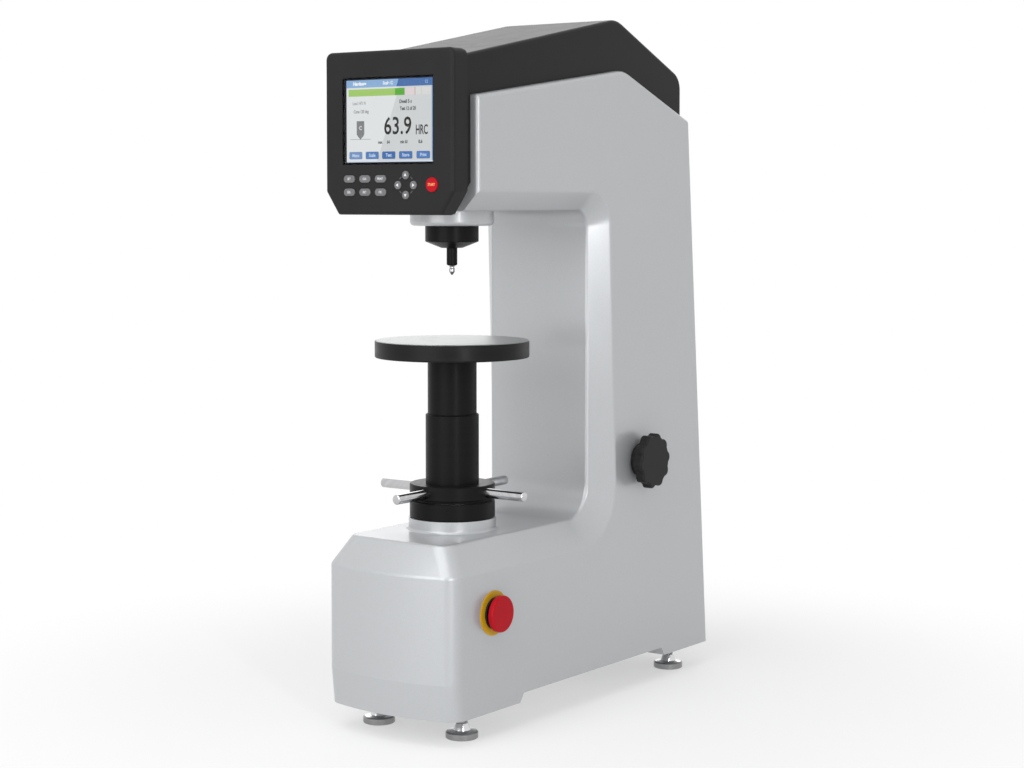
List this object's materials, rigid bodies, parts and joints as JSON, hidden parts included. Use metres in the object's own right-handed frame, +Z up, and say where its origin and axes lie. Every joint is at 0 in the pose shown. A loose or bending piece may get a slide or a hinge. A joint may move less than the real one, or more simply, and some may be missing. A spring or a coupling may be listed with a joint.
{
  "type": "hardness tester",
  "caption": "Bench hardness tester with a C-shaped frame, round anvil on an elevating screw with spoked handwheel, sliding indenter spindle, upright screen with keys, load knob and stop button.",
  "frame": {"origin": "centre of the footprint's bounding box, on the surface that the feet stand on", "axes": "+Z up along the measuring axis, -Y towards the user and the display, +X towards the knob and stop button"},
  "size_m": [0.1842, 0.4672, 0.6891],
  "materials": {
    "silver_paint": "satin metallic paint",
    "black_paint": "satin black paint",
    "black_plastic": "fine matt",
    "grey_plastic": "matt",
    "red_plastic": "smooth",
    "yellow_plastic": "smooth",
    "clear_glass": "clear",
    "screen": "lit display",
    "circuit_board": "solder mask",
    "ground_steel": "ground top, blackened rim",
    "steel": "machined",
    "zinc_steel": "zinc plated",
    "dark_steel": "gunmetal",
    "blackened_steel": "black oxide",
    "chrome": "polished",
    "bronze": "machined",
    "aluminium": "plain",
    "cast_iron": "painted grey"
  },
  "bodies": {
    "frame": {"frame_casting": "silver_paint", "top_cover": "black_paint", "rear_cover": "silver_paint", "rear_cover_screws": "steel", "bottom_plate": "zinc_steel", "display_housing": "black_plastic", "display_back": "black_plastic", "screen_glass": "clear_glass", "lcd_module": "screen", "key_board": "circuit_board", "bearing_ring": "blackened_steel", "thrust_bearing": "steel", "guide_post": "steel", "spindle_cap": "blackened_steel", "spindle_bush": "bronze", "depth_sensor": "aluminium", "lever_bracket": "cast_iron", "loading_motor": "aluminium", "estop_ring": "yellow_plastic", "estop_collar": "black_plastic", "power_inlet": "black_plastic", "control_board": "circuit_board", "power_supply": "aluminium"},
    "handwheel": {"handwheel_hub": "blackened_steel", "handwheel_spokes": "chrome", "guard_tube": "blackened_steel", "elevating_nut": "bronze"},
    "elevating_screw": {"elevating_screw": "steel", "screw_sleeve": "blackened_steel", "anvil": "ground_steel"},
    "spindle": {"spindle": "blackened_steel", "indenter": "chrome"},
    "load_lever": {"load_lever": "cast_iron"},
    "weight_hanger": {"hanger": "steel", "weights": "cast_iron"},
    "load_cam": {"load_cam": "steel"},
    "load_selector": {"selector_shaft": "steel", "selector_knob": "black_plastic"},
    "estop_plunger": {"estop_plunger": "black_plastic"},
    "estop_head": {"estop_head": "red_plastic"},
    "power_switch": {"switch_rocker": "black_plastic"},
    "key_1": {"key_1": "grey_plastic"},
    "key_2": {"key_2": "grey_plastic"},
    "key_3": {"key_3": "grey_plastic"},
    "key_4": {"key_4": "grey_plastic"},
    "key_5": {"key_5": "grey_plastic"},
    "key_6": {"key_6": "grey_plastic"},
    "key_up": {"key_up": "grey_plastic"},
    "key_down": {"key_down": "grey_plastic"},
    "key_left": {"key_left": "grey_plastic"},
    "key_right": {"key_right": "grey_plastic"},
    "start_key": {"start_key": "red_plastic"},
    "foot_pad_1": {"foot_pad_1": "dark_steel"},
    "foot_stud_1": {"foot_stud_1": "steel"},
    "foot_pad_2": {"foot_pad_2": "dark_steel"},
    "foot_stud_2": {"foot_stud_2": "steel"},
    "foot_pad_3": {"foot_pad_3": "dark_steel"},
    "foot_stud_3": {"foot_stud_3": "steel"},
    "foot_pad_4": {"foot_pad_4": "dark_steel"},
    "foot_stud_4": {"foot_stud_4": "steel"}
  },
  "joints": [
    {"name": "handwheel_turn", "type": "hinge", "parent": "frame", "child": "handwheel", "pos_m": [-0.0051, -0.12375, 0.226], "axis": [0, 0, 1], "range_deg": [-4407, 3421]},
    {"name": "screw_lift", "type": "slide", "parent": "frame", "child": "elevating_screw", "axis": [0, 0, 1], "range_m": [-0.0475, 0.0612]},
    {"name": "lever_tilt", "type": "hinge", "parent": "frame", "child": "load_lever", "pos_m": [-0.0051, -0.15575, 0.5731], "axis": [1, 0, 0], "range_deg": [0, 3.5]},
    {"name": "spindle_lift", "type": "slide", "parent": "frame", "child": "spindle", "axis": [0, 0, 1], "range_m": [0, 0.002]},
    {"name": "weights_lift", "type": "slide", "parent": "frame", "child": "weight_hanger", "axis": [0, 0, 1], "range_m": [0, 0.0162]},
    {"name": "load_cam_turn", "type": "hinge", "parent": "frame", "child": "load_cam", "pos_m": [-0.0051, -0.00375, 0.54051], "axis": [1, 0, 0], "continuous": true},
    {"name": "selector_turn", "type": "hinge", "parent": "frame", "child": "load_selector", "pos_m": [0.0869, 0.09355, 0.2389], "axis": [1, 0, 0], "range_deg": [0, 180]},
    {"name": "estop_push", "type": "slide", "parent": "frame", "child": "estop_plunger", "axis": [-1, 0, 0], "range_m": [0, 0.004], "stiffness_N_per_m": 400, "springref_m": -0.001},
    {"name": "estop_twist", "type": "hinge", "parent": "estop_plunger", "child": "estop_head", "pos_m": [0.0814, -0.16085, 0.1198], "axis": [1, 0, 0], "range_deg": [0, 45], "stiffness_Nm_per_rad": 0.02},
    {"name": "switch_rock", "type": "hinge", "parent": "frame", "child": "power_switch", "pos_m": [-0.0351, 0.22613, 0.10485], "axis": [1, 0, 0], "range_deg": [0, 14]},
    {"name": "key_1_push", "type": "slide", "parent": "frame", "child": "key_1", "axis": [0, 1, 0], "range_m": [0, 0.0008], "stiffness_N_per_m": 250, "springref_m": -0.0004},
    {"name": "key_2_push", "type": "slide", "parent": "frame", "child": "key_2", "axis": [0, 1, 0], "range_m": [0, 0.0008], "stiffness_N_per_m": 250, "springref_m": -0.0004},
    {"name": "key_3_push", "type": "slide", "parent": "frame", "child": "key_3", "axis": [0, 1, 0], "range_m": [0, 0.0008], "stiffness_N_per_m": 250, "springref_m": -0.0004},
    {"name": "key_4_push", "type": "slide", "parent": "frame", "child": "key_4", "axis": [0, 1, 0], "range_m": [0, 0.0008], "stiffness_N_per_m": 250, "springref_m": -0.0004},
    {"name": "key_5_push", "type": "slide", "parent": "frame", "child": "key_5", "axis": [0, 1, 0], "range_m": [0, 0.0008], "stiffness_N_per_m": 250, "springref_m": -0.0004},
    {"name": "key_6_push", "type": "slide", "parent": "frame", "child": "key_6", "axis": [0, 1, 0], "range_m": [0, 0.0008], "stiffness_N_per_m": 250, "springref_m": -0.0004},
    {"name": "key_up_push", "type": "slide", "parent": "frame", "child": "key_up", "axis": [0, 1, 0], "range_m": [0, 0.0008], "stiffness_N_per_m": 250, "springref_m": -0.0004},
    {"name": "key_down_push", "type": "slide", "parent": "frame", "child": "key_down", "axis": [0, 1, 0], "range_m": [0, 0.0008], "stiffness_N_per_m": 250, "springref_m": -0.0004},
    {"name": "key_left_push", "type": "slide", "parent": "frame", "child": "key_left", "axis": [0, 1, 0], "range_m": [0, 0.0008], "stiffness_N_per_m": 250, "springref_m": -0.0004},
    {"name": "key_right_push", "type": "slide", "parent": "frame", "child": "key_right", "axis": [0, 1, 0], "range_m": [0, 0.0008], "stiffness_N_per_m": 250, "springref_m": -0.0004},
    {"name": "start_key_push", "type": "slide", "parent": "frame", "child": "start_key", "axis": [0, 1, 0], "range_m": [0, 0.0008], "stiffness_N_per_m": 250, "springref_m": -0.0004},
    {"name": "foot_1_height", "type": "slide", "parent": "frame", "child": "foot_pad_1", "axis": [0, 0, -1], "range_m": [0, 0.0101]},
    {"name": "foot_1_turn", "type": "hinge", "parent": "foot_pad_1", "child": "foot_stud_1", "pos_m": [-0.0557, -0.17545, 0.02], "axis": [0, 0, -1], "range_deg": [0, 2909.5]},
    {"name": "foot_2_height", "type": "slide", "parent": "frame", "child": "foot_pad_2", "axis": [0, 0, -1], "range_m": [0, 0.0101]},
    {"name": "foot_2_turn", "type": "hinge", "parent": "foot_pad_2", "child": "foot_stud_2", "pos_m": [0.0455, -0.17545, 0.02], "axis": [0, 0, -1], "range_deg": [0, 2909.5]},
    {"name": "foot_3_height", "type": "slide", "parent": "frame", "child": "foot_pad_3", "axis": [0, 0, -1], "range_m": [0, 0.0101]},
    {"name": "foot_3_turn", "type": "hinge", "parent": "foot_pad_3", "child": "foot_stud_3", "pos_m": [-0.0557, 0.19475, 0.02], "axis": [0, 0, -1], "range_deg": [0, 2909.5]},
    {"name": "foot_4_height", "type": "slide", "parent": "frame", "child": "foot_pad_4", "axis": [0, 0, -1], "range_m": [0, 0.0101]},
    {"name": "foot_4_turn", "type": "hinge", "parent": "foot_pad_4", "child": "foot_stud_4", "pos_m": [0.0455, 0.19475, 0.02], "axis": [0, 0, -1], "range_deg": [0, 2909.5]}
  ],
  "couplings": [
    {"joint": "handwheel_turn", "follows": "screw_lift", "rad_per_m": -1256.6},
    {"joint": "spindle_lift", "follows": "lever_tilt", "m_per_rad": 0.032},
    {"joint": "weights_lift", "follows": "lever_tilt", "m_per_rad": 0.26},
    {"joint": "foot_1_turn", "follows": "foot_1_height", "rad_per_m": 5026.5},
    {"joint": "foot_2_turn", "follows": "foot_2_height", "rad_per_m": 5026.5},
    {"joint": "foot_3_turn", "follows": "foot_3_height", "rad_per_m": 5026.5},
    {"joint": "foot_4_turn", "follows": "foot_4_height", "rad_per_m": 5026.5}
  ]
}
